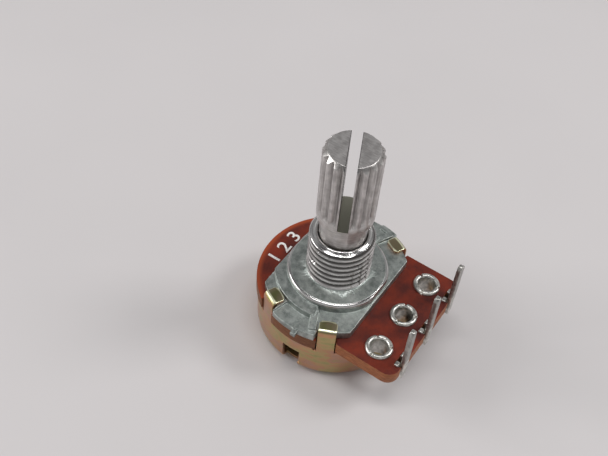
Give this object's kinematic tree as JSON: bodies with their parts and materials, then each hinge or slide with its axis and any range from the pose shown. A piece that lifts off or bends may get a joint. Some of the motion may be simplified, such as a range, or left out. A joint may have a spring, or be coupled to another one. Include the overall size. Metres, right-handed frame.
{
  "type": "rotary potentiometer",
  "caption": "Rotary potentiometer with a threaded bush, a split knurled shaft, a round pressed cover and board pins on a phenolic board.",
  "frame": {"origin": "on the shaft axis, at the flat back of the cover that the part rests on", "axes": "+Z along the shaft towards its tip; the terminals are towards -Y; +X runs along the row of terminals, from terminal 1 to terminal 3"},
  "size_m": [0.0182, 0.0207, 0.0262],
  "materials": {
    "shaft_metal": "turned and knurled light alloy, dull",
    "cast_zinc": "die-cast zinc, satin",
    "passivated_steel": "steel with a yellow zinc plating that shifts to pink and green",
    "phenolic": "reddish-brown phenolic paper, slightly glossy",
    "carbon_film": "printed carbon film",
    "silver_film": "printed silver film",
    "tinned_brass": "tin-plated brass",
    "rotor_plastic": "natural moulded acetal",
    "spring_bronze": "rolled spring bronze",
    "ring_steel": "plain spring steel"
  },
  "bodies": {
    "housing": {"bushing_plate": "cast_zinc", "cover": "passivated_steel", "terminal_board": "phenolic", "resistance_track": "carbon_film", "collector_ring": "silver_film", "track_end_1": "silver_film", "track_end_3": "silver_film", "terminal_1": "tinned_brass", "terminal_2": "tinned_brass", "terminal_3": "tinned_brass", "eyelet_1": "tinned_brass", "eyelet_2": "tinned_brass", "eyelet_3": "tinned_brass"},
    "spindle": {"shaft": "shaft_metal", "rotor": "rotor_plastic", "wiper_spring": "spring_bronze", "retaining_ring": "ring_steel"}
  },
  "joints": [
    {"name": "shaft_rotation", "type": "hinge", "parent": "housing", "child": "spindle", "pos_m": [0, 0, 0], "axis": [0, 0, 1], "range_deg": [-150, 150]}
  ]
}
